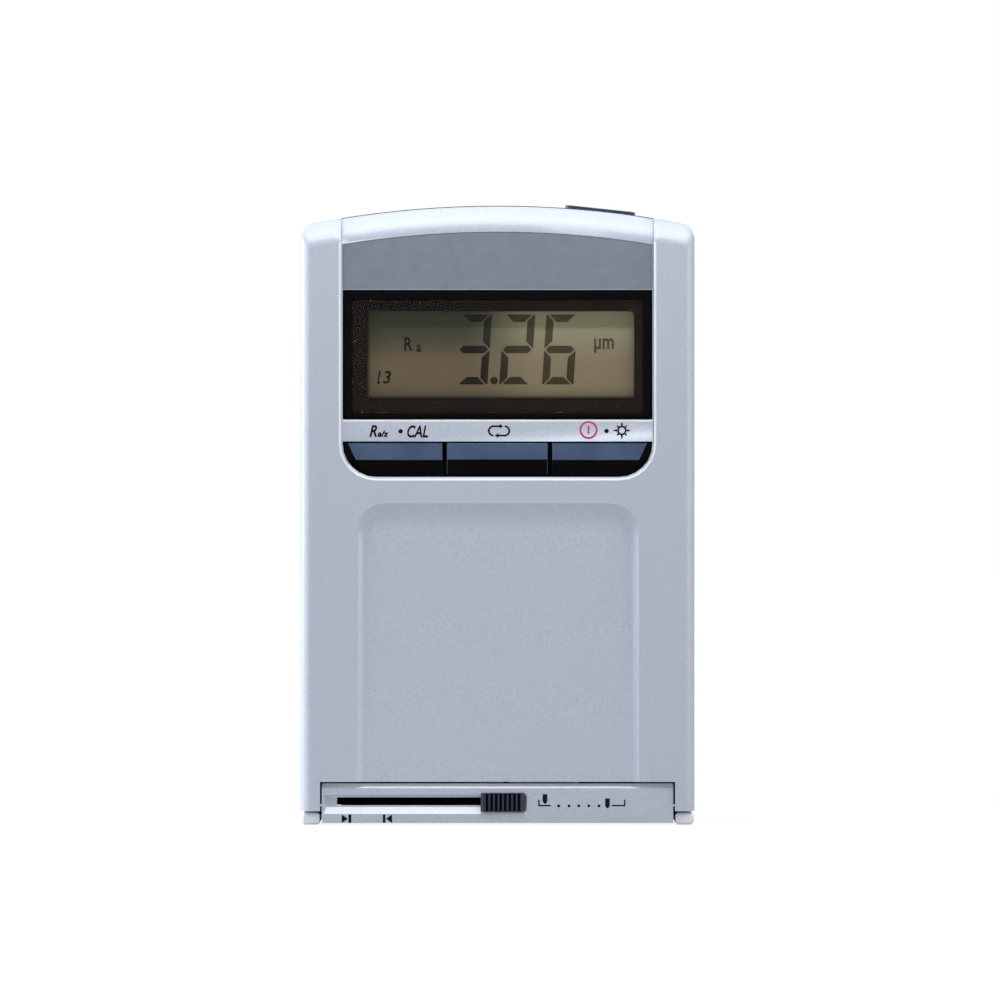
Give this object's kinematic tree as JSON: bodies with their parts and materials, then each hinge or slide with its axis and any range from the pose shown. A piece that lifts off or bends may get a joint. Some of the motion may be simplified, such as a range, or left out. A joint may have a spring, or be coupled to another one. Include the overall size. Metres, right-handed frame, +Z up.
{
  "type": "surface roughness tester",
  "caption": "Pocket surface roughness tester standing on its base bar: display, keys, start button, thumb scoop, and a sliding knob that lifts the motor-driven pickup.",
  "frame": {"origin": "middle of the footprint, on the surface that the feet stand on", "axes": "+X to the right seen from the front, +Y to the back, +Z up; the display faces -Y"},
  "size_m": [0.07, 0.024, 0.1106],
  "materials": {
    "silver_paint": "satin silver paint on moulded plastic",
    "satin_plate": "satin grey",
    "pale_plastic": "matte pale grey",
    "black_plastic": "matte black",
    "key_plastic": "matte blue-black",
    "clear_plastic": "clear, glossy",
    "lcd_glass": "olive-grey, glossy",
    "white_plastic": "matte white",
    "grey_rubber": "matte dark grey",
    "board_laminate": "green circuit board",
    "steel": "ground steel",
    "brass": "machined brass",
    "aluminium": "milled aluminium",
    "cell_sleeve": "sleeved steel can",
    "diamond": "polished"
  },
  "bodies": {
    "housing": {"front_shell": "silver_paint", "rear_shell": "silver_paint", "name_plate": "satin_plate", "display_bezel": "black_plastic", "display_window": "clear_plastic", "case_screw_1": "steel", "case_screw_2": "steel", "case_screw_3": "steel", "case_screw_4": "steel", "foot_left": "pale_plastic", "foot_right": "pale_plastic", "base_rail": "silver_paint", "frame_screw_1": "steel", "frame_screw_2": "steel", "key_guide": "black_plastic", "key_switch_1": "black_plastic", "key_switch_2": "black_plastic", "key_switch_3": "black_plastic", "start_switch": "black_plastic", "lcd_glass": "lcd_glass", "backlight_panel": "white_plastic", "lcd_connector": "grey_rubber", "main_board": "board_laminate", "processor_chip": "black_plastic", "buzzer": "black_plastic", "charging_socket": "black_plastic", "battery_connector": "white_plastic", "battery_cell_1": "cell_sleeve", "battery_cell_2": "cell_sleeve", "battery_cell_3": "cell_sleeve", "battery_contact_top": "steel", "battery_contact_bottom": "steel", "drive_frame": "aluminium", "guide_rod_front": "steel", "guide_rod_rear": "steel", "drive_motor": "steel"},
    "knob_slider": {"lift_knob": "key_plastic", "lift_slider": "black_plastic"},
    "lift_platform": {"lift_bar": "steel"},
    "screw_assembly": {"lead_screw": "steel", "screw_gear": "brass"},
    "pinion": {"motor_pinion": "brass"},
    "carriage_assembly": {"carriage": "black_plastic", "lead_nut": "brass", "guide_bush_front": "brass", "guide_bush_rear": "brass", "pickup_spring": "steel"},
    "pickup": {"pickup_body": "aluminium", "skid": "steel", "pivot_pin": "steel"},
    "stylus": {"stylus_arm": "aluminium", "stylus_tip": "diamond"},
    "left_key": {"key_left": "key_plastic"},
    "middle_key": {"key_middle": "key_plastic"},
    "right_key": {"key_right": "key_plastic"},
    "start_key": {"start_button": "key_plastic"},
    "cell_cover": {"battery_cover": "silver_paint"}
  },
  "joints": [
    {"name": "lift_slide", "type": "slide", "parent": "housing", "child": "knob_slider", "axis": [1, 0, 0], "range_m": [-0.025, 0]},
    {"name": "lift_rise", "type": "slide", "parent": "housing", "child": "lift_platform", "axis": [0, 0, 1], "range_m": [0, 0.00125]},
    {"name": "screw_spin", "type": "hinge", "parent": "housing", "child": "screw_assembly", "pos_m": [0.0098, 0, 0.015], "axis": [1, 0, 0], "range_deg": [0, 2160]},
    {"name": "carriage_travel", "type": "slide", "parent": "housing", "child": "carriage_assembly", "axis": [1, 0, 0], "range_m": [0, 0.006]},
    {"name": "pinion_spin", "type": "hinge", "parent": "housing", "child": "pinion", "pos_m": [0.0098, 0.0043, 0.02077], "axis": [1, 0, 0], "range_deg": [-4320, 0]},
    {"name": "pickup_lift", "type": "slide", "parent": "carriage_assembly", "child": "pickup", "axis": [0, 0, 1], "range_m": [0, 0.00125], "deforming": ["pickup_spring"]},
    {"name": "stylus_pivot", "type": "hinge", "parent": "pickup", "child": "stylus", "pos_m": [-0.009, 0, 0.0042], "axis": [0, 1, 0], "range_deg": [-0.4, 2], "stiffness_Nm_per_rad": 0.002},
    {"name": "key_left_press", "type": "slide", "parent": "housing", "child": "left_key", "axis": [0, 1, 0], "range_m": [0, 0.0005], "stiffness_N_per_m": 1500},
    {"name": "key_middle_press", "type": "slide", "parent": "housing", "child": "middle_key", "axis": [0, 1, 0], "range_m": [0, 0.0005], "stiffness_N_per_m": 1500},
    {"name": "key_right_press", "type": "slide", "parent": "housing", "child": "right_key", "axis": [0, 1, 0], "range_m": [0, 0.0005], "stiffness_N_per_m": 1500},
    {"name": "start_press", "type": "slide", "parent": "housing", "child": "start_key", "axis": [-0.1051, 0, -0.9945], "range_m": [0, 0.0008], "stiffness_N_per_m": 1200},
    {"name": "cover_release", "type": "slide", "parent": "housing", "child": "cell_cover", "axis": [0, 1, 0], "range_m": [0, 0.015]}
  ],
  "couplings": [
    {"joint": "lift_rise", "follows": "lift_slide", "ratio": -0.05},
    {"joint": "pickup_lift", "follows": "lift_slide", "ratio": -0.05},
    {"joint": "screw_spin", "follows": "carriage_travel", "rad_per_m": 6283.2},
    {"joint": "pinion_spin", "follows": "carriage_travel", "rad_per_m": -12566}
  ]
}
